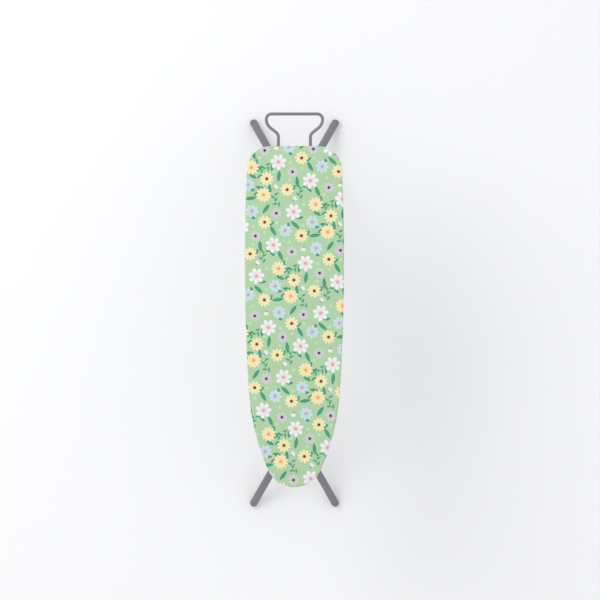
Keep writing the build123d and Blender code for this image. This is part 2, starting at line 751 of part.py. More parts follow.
lever_plane = Plane(origin=(0, *lever_pin_at), x_dir=(1, 0, 0),
                    z_dir=(0, cos(radians(lever_tilt)), sin(radians(lever_tilt))))
up = -1 if lever_plane.y_dir.Z < 0 else 1
rod_at = up * (rod_rise - lever_pin_rise) / cos(radians(lever_tilt))
with BuildPart() as lever:
    with BuildSketch(lever_plane.offset(-lever_sheet / 2)):
        with Locations((0, up * (lever_rise + lever_head_foot) / 2)):
            Rectangle(2 * lever_head_half, lever_rise - lever_head_foot)
        with Locations((0, up * (lever_rise - lever_reach) / 2)):
            Rectangle(2 * lever_stem_half, lever_rise + lever_reach)
        with Locations((0, rod_at)):
            Circle(lever_rod_hole, mode=Mode.SUBTRACT)
    extrude(amount=lever_sheet)
    with BuildSketch(Plane.YZ.offset(-lever_stem_half)):
        with Locations(lever_pin_at):
            Circle(lever_hub_radius)
    extrude(amount=2 * lever_stem_half)
    with BuildSketch(Plane.YZ.offset(-lever_stem_half)):
        with Locations(lever_pin_at):
            Circle(lever_pin_radius + fit_gap)
    extrude(amount=2 * lever_stem_half, mode=Mode.SUBTRACT)
    bar_at = lever_plane.from_local_coords((0, -up * lever_reach, 0))
    with BuildSketch(Plane.YZ.offset(-lever_head_half)):
        with Locations((bar_at.Y, bar_at.Z)):
            Circle(lever_bar_radius)
    extrude(amount=2 * lever_head_half, mode=Mode.SUBTRACT)
save(lever.part, "lever_plate")

lever_bar = across(lever_bar_left, lever_bar_right, bar_at.Y, bar_at.Z, lever_bar_radius)
save(lever_bar.part, "lever_bar")

with BuildPart() as grip:
    with BuildSketch(Plane.YZ.offset(grip_left)):
        with Locations((bar_at.Y, bar_at.Z)):
            Circle(grip_radius)
    extrude(amount=grip_right - grip_left)
    fillet(grip.edges().filter_by(GeomType.CIRCLE), radius=grip_rounding)
    with BuildSketch(Plane.YZ.offset(grip_left)):
        with Locations((bar_at.Y, bar_at.Z)):
            Circle(lever_bar_radius + press_gap)
    extrude(amount=lever_bar_right + grip_end_gap - grip_left, mode=Mode.SUBTRACT)
save(grip.part, "lever_grip")

print(f"pivot height {pivot_z:.2f}, crossing height {crossing_z:.2f}, mesh face {deck_z:.2f}")
print(f"ironing surface {hem_floor + cover_height:.2f}, side radius {side_radius:.1f}")
print(f"slide y: rest {slide_y:.1f}, folded {slide_folded_y:.1f}, tallest {slide_tallest_y:.1f}")
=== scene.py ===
import json
import math
import random

import bmesh
import bpy
from mathutils import Matrix, Vector


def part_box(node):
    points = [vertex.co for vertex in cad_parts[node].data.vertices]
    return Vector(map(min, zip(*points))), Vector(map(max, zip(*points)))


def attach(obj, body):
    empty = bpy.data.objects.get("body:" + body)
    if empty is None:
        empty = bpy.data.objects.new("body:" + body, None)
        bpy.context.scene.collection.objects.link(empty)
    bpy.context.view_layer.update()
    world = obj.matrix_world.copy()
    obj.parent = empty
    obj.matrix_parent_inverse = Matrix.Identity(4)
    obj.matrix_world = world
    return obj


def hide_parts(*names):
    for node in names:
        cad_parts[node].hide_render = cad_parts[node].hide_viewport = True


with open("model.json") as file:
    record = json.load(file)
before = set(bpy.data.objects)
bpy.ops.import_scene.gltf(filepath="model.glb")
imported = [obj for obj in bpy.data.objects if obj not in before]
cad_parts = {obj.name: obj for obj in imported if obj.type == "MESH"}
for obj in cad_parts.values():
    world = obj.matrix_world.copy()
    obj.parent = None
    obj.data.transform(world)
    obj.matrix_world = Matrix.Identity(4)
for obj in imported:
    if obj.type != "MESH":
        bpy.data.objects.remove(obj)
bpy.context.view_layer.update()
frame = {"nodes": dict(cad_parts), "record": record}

# An ironing board: the steel work comes from the frame, and everything soft is made here.
# Metres. +Y is the wide end with the iron rest, -Y the nose, +Z is up.

nodes = frame["nodes"]
mm = 0.001


def linearColour(hexCode, alpha=1.0):
    # sRGB hex to the linear values that Blender's sockets take
    channels = [int(hexCode[i:i + 2], 16) / 255 for i in (1, 3, 5)]
    return [c / 12.92 if c <= 0.04045 else ((c + 0.055) / 1.055) ** 2.4 for c in channels] + [alpha]


def addNode(tree, kind, inputs, out=0, **settings):
    # one node, with its settings, its values and the links that come into it
    node = tree.nodes.new("ShaderNode" + kind)
    for name, value in settings.items():
        setattr(node, name, value)
    for key, value in inputs.items():
        if isinstance(value, bpy.types.NodeSocket):
            tree.links.new(value, node.inputs[key])
        else:
            node.inputs[key].default_value = value
    return node.outputs[out] if node.outputs else node


def newMaterial(name):
    material = bpy.data.materials.new(name)
    material.use_nodes = True
    material.node_tree.nodes.clear()
    return material, material.node_tree


def dress(material, nodeName):
    # a CAD node keeps its shape and takes a better finish
    for materialSlot in nodes[nodeName].material_slots:
        materialSlot.material = material


def newObject(name, mesh, material):
    piece = bpy.data.objects.new(name, mesh)
    bpy.context.scene.collection.objects.link(piece)
    piece.data.materials.append(material)
    return piece


def pieceFrom(bm, name, material, rounded=True):
    # the finished mesh as an object, with its faces turned outwards
    bmesh.ops.recalc_face_normals(bm, faces=bm.faces)
    mesh = bpy.data.meshes.new(name)
    bm.to_mesh(mesh)
    bm.free()
    mesh.polygons.foreach_set("use_smooth", [rounded] * len(mesh.polygons))
    return newObject(name, mesh, material)


# Camera, floor and light

lookDown = {"lens": 1200.0, "across": 1.934, "aim": (0.018, 0.0345, 0.7708)}
camera = bpy.data.objects.new("planCamera", bpy.data.cameras.new("planCamera"))
camera.data.lens = lookDown["lens"]  # so long that lines stay parallel, as on a plan
cameraHeight = lookDown["across"] / camera.data.sensor_width * camera.data.lens
camera.data.clip_end = 2 * cameraHeight
camera.location = Vector(lookDown["aim"]) + Vector((0, 0, cameraHeight))
bpy.context.scene.collection.objects.link(camera)
bpy.context.scene.camera = camera

studio = {"floorSize": 240.0, "floorColour": "#FCFCFC", "sky": "#FCFDFF", "skyStrength": 0.86,
          "keySize": 2.2, "keyPower": 38.0, "keyFrom": (-2.0, 1.6, 3.6), "keyTo": (0.0, 0.0, 0.6)}
floorMesh = bpy.data.meshes.new("studioFloor")
floorReach = studio["floorSize"] / 2
floorCorners = [(-floorReach, -floorReach, 0), (floorReach, -floorReach, 0),
                (floorReach, floorReach, 0), (-floorReach, floorReach, 0)]
floorMesh.from_pydata(floorCorners, [], [(0, 1, 2, 3)])
floorPaint, tree = newMaterial("mattPaintedFloor")  # rolled matt emulsion: flat, pale, no gloss
floorTone = addNode(tree, "TexNoise", {"Scale": 0.6, "Detail": 2.0})
floorColour = addNode(tree, "Mix", {
    "Factor": floorTone, "A": linearColour(studio["floorColour"]), "B": linearColour("#FFFFFF")},
    out="Result", data_type="RGBA")
addNode(tree, "OutputMaterial", {
    "Surface": addNode(tree, "BsdfPrincipled", {"Base Color": floorColour, "Roughness": 0.95})})
floor = newObject("studioFloor", floorMesh, floorPaint)

sky = bpy.data.worlds.new("softStudio")
sky.use_nodes = True
sky.node_tree.nodes["Background"].inputs["Color"].default_value = linearColour(studio["sky"])
sky.node_tree.nodes["Background"].inputs["Strength"].default_value = studio["skyStrength"]
bpy.context.scene.world = sky

keyLight = bpy.data.objects.new("keyLight", bpy.data.lights.new("keyLight", "AREA"))
keyLight.data.shape = "DISK"
keyLight.data.size = studio["keySize"]
keyLight.data.energy = studio["keyPower"]
keyLight.location = studio["keyFrom"]
keyLine = Vector(studio["keyTo"]) - keyLight.location
keyLight.rotation_euler = keyLine.to_track_quat("-Z", "Y").to_euler()
keyLight.visible_camera = False
bpy.context.scene.collection.objects.link(keyLight)
bpy.context.scene.view_settings.view_transform = "Standard"
print("stage: camera, floor and light")

# Metals and plastics


def powderCoat(name, coat):
    # powder-coated steel, sprayed and baked: an even satin skin with a fine orange-peel ripple
    material, tree = newMaterial(name)
    point = addNode(tree, "TexCoord", {}, out="Object")
    peel = addNode(tree, "TexNoise", {"Vector": point, "Scale": 1 / (coat["grain"] * mm), "Detail": 2.0})
    cloud = addNode(tree, "TexNoise", {"Vector": point, "Scale": 9.0, "Detail": 3.0})
    tone = addNode(tree, "Mix", {
        "Factor": cloud, "A": linearColour(coat["dark"]), "B": linearColour(coat["light"])},
        out="Result", data_type="RGBA")
    gloss = addNode(tree, "MapRange", {
        "Value": cloud, "From Min": 0.3, "From Max": 0.7, "To Min": 0.28, "To Max": 0.42})
    bump = addNode(tree, "Bump", {"Height": peel, "Strength": 0.5, "Distance": coat["peel"] * mm})
    shader = addNode(tree, "BsdfPrincipled", {
        "Base Color": tone, "Roughness": gloss, "Normal": bump, "IOR": 1.5})
    addNode(tree, "OutputMaterial", {"Surface": shader})
    return material


def zincPlate():
    # zinc-plated steel, rolled and blue-passivated: bright grey metal, faint rolling lines, a cool bloom
    material, tree = newMaterial("zincPlatedSteel")
    point = addNode(tree, "TexCoord", {}, out="Object")
    rolled = addNode(tree, "Mapping", {"Vector": point, "Scale": (1 / (0.6 * mm), 40.0, 1 / (0.6 * mm))})
    lines = addNode(tree, "TexNoise", {"Vector": rolled, "Scale": 1.0, "Detail": 2.0})
    bloom = addNode(tree, "TexNoise", {"Vector": point, "Scale": 60.0, "Detail": 4.0})
    tone = addNode(tree, "Mix", {
        "Factor": bloom, "A": linearColour("#A3A8AF"), "B": linearColour("#CACCCC")},
        out="Result", data_type="RGBA")
    gloss = addNode(tree, "MapRange", {
        "Value": lines, "From Min": 0.3, "From Max": 0.7, "To Min": 0.26, "To Max": 0.46})
    bump = addNode(tree, "Bump", {"Height": lines, "Strength": 0.3, "Distance": 0.05 * mm})
    shader = addNode(tree, "BsdfPrincipled", {
        "Base Color": tone, "Metallic": 1.0, "Roughness": gloss, "Normal": bump})
    addNode(tree, "OutputMaterial", {"Surface": shader})
    return material


def galvanised():
    # hot-dip galvanised mesh: dull grey zinc with crystal spangle about 6 mm across
    material, tree = newMaterial("galvanisedSteel")
    point = addNode(tree, "TexCoord", {}, out="Object")
    spangle = addNode(tree, "TexVoronoi", {"Vector": point, "Scale": 1 / (6 * mm)}, out="Color")
    shade = addNode(tree, "SeparateColor", {"Color": spangle})
    tone = addNode(tree, "Mix", {
        "Factor": shade, "A": linearColour("#9096A0"), "B": linearColour("#BDC0C2")},
        out="Result", data_type="RGBA")
    gloss = addNode(tree, "MapRange", {"Value": shade, "To Min": 0.36, "To Max": 0.58})
    shader = addNode(tree, "BsdfPrincipled", {"Base Color": tone, "Metallic": 1.0, "Roughness": gloss})
    addNode(tree, "OutputMaterial", {"Surface": shader})
    return material


def mouldedPlastic(name, plastic):
    # injection-moulded thermoplastic with a spark-eroded grain: even colour, soft broken highlight
    material, tree = newMaterial(name)
    point = addNode(tree, "TexCoord", {}, out="Object")
    grain = addNode(tree, "TexNoise", {"Vector": point, "Scale": 1 / (plastic["grain"] * mm), "Detail": 3.0})
    flow = addNode(tree, "TexNoise", {"Vector": point, "Scale": 35.0, "Detail": 2.0})
    tone = addNode(tree, "Mix", {
        "Factor": flow, "A": linearColour(plastic["dark"]), "B": linearColour(plastic["light"])},
        out="Result", data_type="RGBA")
    gloss = addNode(tree, "MapRange", {
        "Value": grain, "From Min": 0.3, "From Max": 0.7,
        "To Min": plastic["roughness"] - 0.07, "To Max": plastic["roughness"] + 0.07})
    bump = addNode(tree, "Bump", {"Height": grain, "Strength": 0.35, "Distance": 0.07 * mm})
    shader = addNode(tree, "BsdfPrincipled", {
        "Base Color": tone, "Roughness": gloss, "Normal": bump, "IOR": 1.49})
    addNode(tree, "OutputMaterial", {"Surface": shader})
    return material


def scuffedFoot():
    # moulded polypropylene end cap: the coat's grey, matt, paler where it rubs on the floor
    material, tree = newMaterial("mouldedPolypropyleneGrey")
    point = addNode(tree, "TexCoord", {}, out="Object")
    grain = addNode(tree, "TexNoise", {"Vector": point, "Scale": 1 / (0.7 * mm), "Detail": 3.0})
    scratches = addNode(tree, "TexNoise", {
        "Vector": point, "Scale": 420.0, "Detail": 5.0, "Distortion": 2.0})
    height = addNode(tree, "SeparateXYZ", {0: point}, out="Z")
    low = addNode(tree, "MapRange", {
        "Value": height, "From Min": 0.0, "From Max": 7 * mm, "To Min": 0.62, "To Max": 0.0})
    rubbed = addNode(tree, "Math", {0: low, 1: scratches}, operation="MULTIPLY")
    tone = addNode(tree, "Mix", {
        "Factor": rubbed, "A": linearColour("#7C7B81"), "B": linearColour("#B4B3B6")},
        out="Result", data_type="RGBA")
    bump = addNode(tree, "Bump", {"Height": grain, "Strength": 0.4, "Distance": 0.08 * mm})
    shader = addNode(tree, "BsdfPrincipled", {
        "Base Color": tone, "Roughness": 0.6, "Normal": bump, "IOR": 1.49})
    addNode(tree, "OutputMaterial", {"Surface": shader})
    return material


def springWire():
    # drawn spring steel, lightly oiled: dark, smooth, sharp highlight
    material, tree = newMaterial("drawnSpringSteel")
    point = addNode(tree, "TexCoord", {}, out="Object")
    draw = addNode(tree, "TexNoise", {"Vector": point, "Scale": 700.0, "Detail": 2.0})
    gloss = addNode(tree, "MapRange", {"Value": draw, "To Min": 0.2, "To Max": 0.36})
    shader = addNode(tree, "BsdfPrincipled", {
        "Base Color": linearColour("#77787A"), "Metallic": 1.0, "Roughness": gloss})
    addNode(tree, "OutputMaterial", {"Surface": shader})
    return material


legGrey = {"dark": "#77767C", "light": "#828187"}
legCoat = powderCoat("powderCoatedTube", {**legGrey, "grain": 1.8, "peel": 0.35})
wireCoat = powderCoat("powderCoatedWire", {**legGrey, "grain": 1.2, "peel": 0.25})
zinc = zincPlate()
spangled = galvanised()
footPlastic = scuffedFoot()
blackPlastic = mouldedPlastic("mouldedPolypropyleneBlack", {
    "dark": "#2B2C2E", "light": "#353638", "roughness": 0.5, "grain": 0.6})
nylon = mouldedPlastic("mouldedNylonNatural", {
    "dark": "#DCDBD1", "light": "#E9E8DF", "roughness": 0.42, "grain": 1.0})
spring = springWire()

slotFinish = {"grey_coated_steel": legCoat, "grey_coated_wire": wireCoat, "zinc_plated_steel": zinc,
              "galvanised_mesh": spangled, "grey_foot_plastic": footPlastic, "grey_plastic": blackPlastic,
              "white_nylon": nylon, "spring_steel": spring}
for subpart in frame["record"]["subparts"]:
    if subpart["material_slot"] in slotFinish:
        dress(slotFinish[subpart["material_slot"]], subpart["node"])
print("stage: metals and plastics")

# The outline of the top: four tangent arcs a side, as the rim tube is bent. Each is a radius in
# millimetres and a turn in degrees, and the long side's radius is the one that gives the length.

boardShape = {"nose": (92.5, 66.2), "taper": (752.0, 20.3), "sideTurn": 6.0, "corner": (78.0, 87.5),
              "length": 1100.0}
lowCover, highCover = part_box("cotton_cover")
noseY = lowCover.y / mm
rearY = highCover.y / mm


def outlineArcs():
    turns = [boardShape["nose"][1], boardShape["taper"][1], boardShape["sideTurn"], boardShape["corner"][1]]
    headings = [0.0]
    for turn in turns:
        headings.append(headings[-1] + turn)
    rise = [math.cos(math.radians(a)) - math.cos(math.radians(b)) for a, b in zip(headings, headings[1:])]
    radii = [boardShape["nose"][0], boardShape["taper"][0], 0.0, boardShape["corner"][0]]
    radii[2] = (boardShape["length"] - sum(r * h for r, h in zip(radii, rise))) / rise[2]
    return [(radius, math.radians(start), math.radians(end))
            for radius, start, end in zip(radii, headings, headings[1:])]


def outlinePoints(step):
    # points and outward normals all the way round, counter-clockwise from the nose tip, in millimetres
    x, y = 0.0, noseY
    half = [((x, y), (0.0, -1.0))]
    for radius, start, end in outlineArcs():
        count = max(3, round(radius * (end - start) / step))  # an arc has three points at least
        for i in range(1, count + 1):
            heading = start + (end - start) * i / count
            px = x + radius * (math.sin(heading) - math.sin(start))
            py = y + radius * (math.cos(start) - math.cos(heading))
            half.append(((px, py), (math.sin(heading), -math.cos(heading))))
        x, y = half[-1][0]
    count = round(x / step)
    half += [((x * (1 - i / count), y), (0.0, 1.0)) for i in range(1, count + 1)]
    mirrored = [((-px, py), (-nx, ny)) for (px, py), (nx, ny) in half[-2:0:-1]]
    return half + mirrored


# The printed cotton: five kinds of flower, leaves, sprigs, buds and dots, scattered on a square repeat

printRepeat = {"size": 239.0, "turn": 30.0, "seed": 7, "tries": 260, "sameApart": 26.0, "bleed": 1.0}
leafFoot = 0.45  # from a leaf's foot to its middle, in leaf lengths
tuckedLean = 0.9  # how far the leaves behind a flower lean from its radius, in radians
flowers = {  # leaves: the turn round the flower, the reach in flower radii, the length and the width
    "daisy": {"count": 3, "radius": 26.0, "petals": 7, "waist": 0.30, "roundness": 0.50,
              "petal": "#F3F1F2", "shade": "#E2DCE1", "eye": "#F0A58E", "eyeRadius": 0.20,
              "leaves": [(0.9, 1.08, 24.0, 9.5)]},
    "marguerite": {"count": 4, "radius": 22.0, "petals": 10, "waist": 0.46, "roundness": 0.60,
                   "petal": "#FAECBC", "shade": "#F3DFA2", "eye": "#6B4331", "eyeRadius": 0.23,
                   "leaves": [(2.4, 1.05, 22.0, 8.0)]},
    "primrose": {"count": 2, "radius": 24.0, "petals": 11, "waist": 0.52, "roundness": 0.50,
                 "petal": "#FBE9B8", "shade": "#F6DCA2", "eye": "#F1A588", "eyeRadius": 0.22,
                 "leaves": [(0.45, 1.10, 36.0, 11.5), (1.75, 1.06, 32.0, 10.5), (2.75, 1.06, 20.0, 8.0)]},
    "speedwell": {"count": 3, "radius": 21.0, "petals": 8, "waist": 0.46, "roundness": 0.50,
                  "petal": "#C9E3EC", "shade": "#B3D5E2", "eye": "#EBA08D", "eyeRadius": 0.24,
                  "leaves": [(1.9, 1.0, 20.0, 8.5)]},
    "aster": {"count": 3, "radius": 18.0, "petals": 9, "waist": 0.38, "roundness": 0.90,
              "petal": "#D9D3DA", "shade": "#C3BAC6", "eye": "#4C2A42", "eyeRadius": 0.24, "leaves": []},
}
# crowd is the share of a motif's size that keeps the others away
leafPrint = {"count": 7, "length": 38.0, "width": 11.5, "crowd": 0.36, "colour": "#3C9770",
             "light": "#57AC86"}
sprigPrint = {"count": 3, "halfSpan": 23.0, "rise": 9.0, "crowd": 0.85, "leaflets": 5, "leafletGap": 2.4,
              "firstLeaflet": 0.85, "leaf": 16.0, "width": 6.0, "lean": 48.0, "stem": 0.9,
              "colour": "#4EA57C"}
budPrint = {"count": 3, "petal": 13.0, "width": 7.0, "crowd": 0.8, "fan": 38.0, "colour": "#EFEDEE",
            "stamen": "#6F4E63", "stamenAt": (-2.5, 1.6), "stamenLean": 2.6, "stamenSize": (5.0, 2.0)}
dotPrint = {"count": 9, "radius": 5.2, "colour": "#C3E3B2"}
cottonPrint = {"ground": "#AFCFA6", "faded": "#B9D6B0", "threadSpacing": 1.8}  # real thread: 0.4 mm


def scatterMotifs():
    # the best of many places for each motif, so that gaps stay even across the repeat
    draw = random.Random(printRepeat["seed"])
    size = printRepeat["size"]
    placed = []
    wanted = [(name, spec["radius"]) for name, spec in flowers.items() for _ in range(spec["count"])]
    wanted.sort(key=lambda item: -item[1])
    wanted += [("sprig", sprigPrint["halfSpan"] * sprigPrint["crowd"])] * sprigPrint["count"]
    wanted += [("leaf", leafPrint["length"] * leafPrint["crowd"])] * leafPrint["count"]
    wanted += [("bud", budPrint["petal"] * budPrint["crowd"])] * budPrint["count"]
    wanted += [("dot", dotPrint["radius"])] * dotPrint["count"]
    for name, reach in wanted:
        best = None
        for _ in range(printRepeat["tries"]):
            x, y = draw.uniform(0, size), draw.uniform(0, size)
            gap = size
            for otherName, ox, oy, otherReach, _ in placed:
                dx = (x - ox + size / 2) % size - size / 2
                dy = (y - oy + size / 2) % size - size / 2
                clearance = math.hypot(dx, dy) - reach - otherReach
                if otherName == name:
                    clearance -= printRepeat["sameApart"]  # copies of one motif stay apart
                gap = min(gap, clearance)
            if best is None or gap > best[0]:
                best = (gap, x, y)
        placed.append((name, best[1], best[2], reach, draw.uniform(0, 2 * math.pi)))
    places = {}
    for name, x, y, _, angle in placed:
        places.setdefault(name, []).append((x, y, angle))
    return places


def nearestCopy(tree, repeatPoint, places):
    # the cloth point in millimetres from the centre of the nearest copy of a motif, in its own turn
    size = printRepeat["size"]
    nearest = None
    for x, y, angle in places:
        near = addNode(tree, "VectorMath", {
            0: repeatPoint, 1: (x + size / 2, y + size / 2, 1.0), 2: (x - size / 2, y - size / 2, -1.0)},
            operation="WRAP")
        local = addNode(tree, "Mapping", {
            "Vector": near, "Location": (x, y, 0.0), "Rotation": (0.0, 0.0, angle)}, vector_type="TEXTURE")
        if nearest is None:
            nearest = local
            continue
        here = addNode(tree, "VectorMath", {0: local}, out="Value", operation="LENGTH")
        there = addNode(tree, "VectorMath", {0: nearest}, out="Value", operation="LENGTH")
        closer = addNode(tree, "Math", {0: here, 1: there}, operation="LESS_THAN")
        nearest = addNode(tree, "Mix", {"Factor": closer, "A": nearest, "B": local},
                          out="Result", data_type="VECTOR")
    return nearest


def leafShapes(tree, local, leaves, others=None):
    # pointed leaves: the smallest of |y| + x * x over all of them, in leaf units; under 1 is inside
    for x, y, angle, length, width in leaves:
        own = addNode(tree, "Mapping", {
            "Vector": local, "Location": (x, y, 0.0), "Rotation": (0.0, 0.0, angle),
            "Scale": (length / 2, width / 2, 1.0)}, vector_type="TEXTURE")
        along = addNode(tree, "SeparateXYZ", {0: own}, out="X")
        across = addNode(tree, "Math", {0: along.node.outputs["Y"]}, operation="ABSOLUTE")
        value = addNode(tree, "Math", {0: along, 1: along, 2: across}, operation="MULTIPLY_ADD")
        if others is not None:
            value = addNode(tree, "Math", {0: others, 1: value}, operation="MINIMUM")
        others = value
    return others


def printInk(tree, under, ink, shape, limit, soft):
    # one ink over the others, inside the limit of a shape, its edge as soft as pigment in cloth
    inside = addNode(tree, "MapRange", {
        "Value": shape, "From Min": limit + soft, "From Max": limit - soft})
    colour = ink if isinstance(ink, bpy.types.NodeSocket) else linearColour(ink)
    return addNode(tree, "Mix", {"Factor": inside, "A": under, "B": colour}, out="Result", data_type="RGBA")


def petalShape(tree, local, flower):
    # distance past the petals' rim and distance from the eye, in flower radii
    unit = addNode(tree, "VectorMath", {0: local, "Scale": 1 / flower["radius"]}, operation="SCALE")
    x = addNode(tree, "SeparateXYZ", {0: unit}, out="X")
    turn = addNode(tree, "Math", {0: x.node.outputs["Y"], 1: x}, operation="ARCTAN2")
    half = addNode(tree, "Math", {0: turn, 1: flower["petals"] / 2}, operation="MULTIPLY")
    wave = addNode(tree, "Math", {0: half}, operation="COSINE")
    fold = addNode(tree, "Math", {0: wave}, operation="ABSOLUTE")
    lobe = addNode(tree, "Math", {0: fold, 1: flower["roundness"]}, operation="POWER")
    rim = addNode(tree, "Math", {
        0: lobe, 1: 1 - flower["waist"], 2: flower["waist"]}, operation="MULTIPLY_ADD")
    away = addNode(tree, "VectorMath", {0: unit}, out="Value", operation="LENGTH")
    return addNode(tree, "Math", {0: away, 1: rim}, operation="SUBTRACT"), away


def sprigLeaves():
    # leaflets that lean to both sides of an arched stem, and one at its tip
    span, rise = sprigPrint["halfSpan"], sprigPrint["rise"]
    leaves = []
    for i in range(sprigPrint["leaflets"]):
        t = i / sprigPrint["leafletGap"] - sprigPrint["firstLeaflet"]
        side = 1 if i % 2 else -1
        tangent = math.atan2(-2 * rise * t, span)
        lean = tangent + side * math.radians(sprigPrint["lean"])
        reach = sprigPrint["leaf"] * leafFoot
        leaves.append((span * t + reach * math.cos(lean), rise * (1 - t * t) + reach * math.sin(lean),
                       lean, sprigPrint["leaf"], sprigPrint["width"]))
    return leaves


def printedCotton():
    # plain-weave cotton, pigment-printed: matt, slightly fuzzy, inks soft at their edges, weave in relief,
    # with painted shade in its hollows and painted highlight on its ridges
    material, tree = newMaterial("printedPlainWeaveCotton")
    clothPoint = addNode(tree, "UVMap", {}, uv_map="clothMillimetres")
    repeatPoint = addNode(tree, "Mapping", {
        "Vector": clothPoint, "Rotation": (0.0, 0.0, math.radians(printRepeat["turn"])),
        "Scale": (1 / mm, 1 / mm, 1.0)})
    bleed = addNode(tree, "TexNoise", {"Vector": clothPoint, "Scale": 900.0, "Detail": 1.0}, out="Color")
    inkPoint = addNode(tree, "VectorMath", {
        0: bleed, 1: (printRepeat["bleed"], printRepeat["bleed"], 0.0), 2: repeatPoint},
        operation="MULTIPLY_ADD")
    places = scatterMotifs()
    wash = addNode(tree, "TexNoise", {"Vector": clothPoint, "Scale": 14.0, "Detail": 3.0})
    colour = addNode(tree, "Mix", {
        "Factor": wash, "A": linearColour(cottonPrint["ground"]), "B": linearColour(cottonPrint["faded"])},
        out="Result", data_type="RGBA")

    dots = None
    for place in places["dot"]:
        dot = nearestCopy(tree, inkPoint, [place])
        away = addNode(tree, "VectorMath", {0: dot}, out="Value", operation="LENGTH")
        dots = away if dots is None else addNode(tree, "Math", {0: dots, 1: away}, operation="MINIMUM")
    colour = printInk(tree, colour, dotPrint["colour"], dots, dotPrint["radius"], 0.7)

    sprig = nearestCopy(tree, inkPoint, places["sprig"])
    colour = printInk(tree, colour, sprigPrint["colour"], leafShapes(tree, sprig, sprigLeaves()), 1.0, 0.10)
    stemX = addNode(tree, "SeparateXYZ", {0: sprig}, out="X")
    arch = addNode(tree, "Math", {0: stemX, 1: stemX}, operation="MULTIPLY")
    arch = addNode(tree, "Math", {
        0: arch, 1: sprigPrint["rise"] / sprigPrint["halfSpan"] ** 2, 2: stemX.node.outputs["Y"]},
        operation="MULTIPLY_ADD")
    offStem = addNode(tree, "Math", {
        0: arch, 1: sprigPrint["rise"], 2: sprigPrint["stem"]}, operation="COMPARE")
    onSpan = addNode(tree, "Math", {0: stemX, 1: 0.0, 2: sprigPrint["halfSpan"]}, operation="COMPARE")
    stem = addNode(tree, "Math", {0: offStem, 1: onSpan}, operation="MULTIPLY")
    colour = addNode(tree, "Mix", {
        "Factor": stem, "A": colour, "B": linearColour(sprigPrint["colour"])},
        out="Result", data_type="RGBA")

    # single leaves, and the leaves tucked behind the flowers
    foliage = None
    singleLeaf = [(0.0, 0.0, 0.0, leafPrint["length"], leafPrint["width"])]
    for place in places["leaf"]:
        foliage = leafShapes(tree, nearestCopy(tree, inkPoint, [place]), singleLeaf, foliage)
    blooms = {}
    for name, flower in flowers.items():
        blooms[name] = nearestCopy(tree, inkPoint, places[name])
        tucked = []
        for turn, reach, length, width in flower["leaves"]:
            x, y = reach * flower["radius"] * math.cos(turn), reach * flower["radius"] * math.sin(turn)
            tucked.append((x, y, turn + tuckedLean, length, width))
        foliage = leafShapes(tree, blooms[name], tucked, foliage)
    vein = addNode(tree, "MapRange", {"Value": foliage, "From Min": 0.1, "From Max": 0.7})
    green = addNode(tree, "Mix", {
        "Factor": vein, "A": linearColour(leafPrint["light"]), "B": linearColour(leafPrint["colour"])},
        out="Result", data_type="RGBA")
    colour = printInk(tree, colour, green, foliage, 1.0, 0.06)

    # buds: three petals fanned from one foot, with two dark stamens
    bud = nearestCopy(tree, inkPoint, places["bud"])
    fan = []
    reach = budPrint["petal"] * leafFoot
    for lean in (math.radians(-budPrint["fan"]), 0.0, math.radians(budPrint["fan"])):
        fan.append((reach * math.cos(lean), reach * math.sin(lean), lean,
                    budPrint["petal"], budPrint["width"]))
    colour = printInk(tree, colour, budPrint["colour"], leafShapes(tree, bud, fan), 1.0, 0.10)
    stamenX, stamenY = budPrint["stamenAt"]
    pair = [(stamenX, side * stamenY, side * budPrint["stamenLean"], *budPrint["stamenSize"])
            for side in (1, -1)]
    stamens = leafShapes(tree, bud, pair)
    colour = printInk(tree, colour, budPrint["stamen"], stamens, 1.0, 0.2)

    for name, flower in flowers.items():
        pastRim, away = petalShape(tree, blooms[name], flower)
        deep = addNode(tree, "MapRange", {"Value": away, "From Min": 0.15, "From Max": 0.65})
        petal = addNode(tree, "Mix", {
            "Factor": deep, "A": linearColour(flower["shade"]), "B": linearColour(flower["petal"])},
            out="Result", data_type="RGBA")
        colour = printInk(tree, colour, petal, pastRim, 0.0, 0.03)
        colour = printInk(tree, colour, flower["eye"], away, flower["eyeRadius"], 0.05)

    # weave: warp and weft as crossed waves, drawn coarser than real thread so that they show; the colour is
    # darkened where they are low and lightened where they are raised: painted shade and painted highlight
    pick = 2 * math.pi / (cottonPrint["threadSpacing"] * mm)
    warp = addNode(tree, "Mapping", {"Vector": clothPoint, "Scale": (pick, pick, 1.0)})
    warpX = addNode(tree, "SeparateXYZ", {0: warp}, out="X")
    ridge = addNode(tree, "Math", {0: warpX}, operation="SINE")
    furrow = addNode(tree, "Math", {0: warpX.node.outputs["Y"]}, operation="SINE")
    weave = addNode(tree, "Math", {0: ridge, 1: furrow}, operation="MULTIPLY")
    slub = addNode(tree, "TexNoise", {"Vector": clothPoint, "Scale": 260.0, "Detail": 3.0})
    height = addNode(tree, "Math", {0: weave, 1: 0.35, 2: slub}, operation="MULTIPLY_ADD")
    # painted shade in the weave's low parts and painted highlight on its raised parts, following the weave's
    # height
    weaveShadeAndHighlight = addNode(tree, "MapRange", {
        "Value": height, "From Min": 0.0, "From Max": 1.0, "To Min": 0.93, "To Max": 1.03})
    colour = addNode(tree, "VectorMath", {0: colour, "Scale": weaveShadeAndHighlight}, operation="SCALE")
    bump = addNode(tree, "Bump", {"Height": height, "Strength": 0.6, "Distance": 0.3 * mm})
    shader = addNode(tree, "BsdfPrincipled", {
        "Base Color": colour, "Roughness": 0.92, "Specular IOR Level": 0.2, "Sheen Weight": 0.04,
        "Sheen Roughness": 0.6, "Normal": bump})
    addNode(tree, "OutputMaterial", {"Surface": shader})
    return material


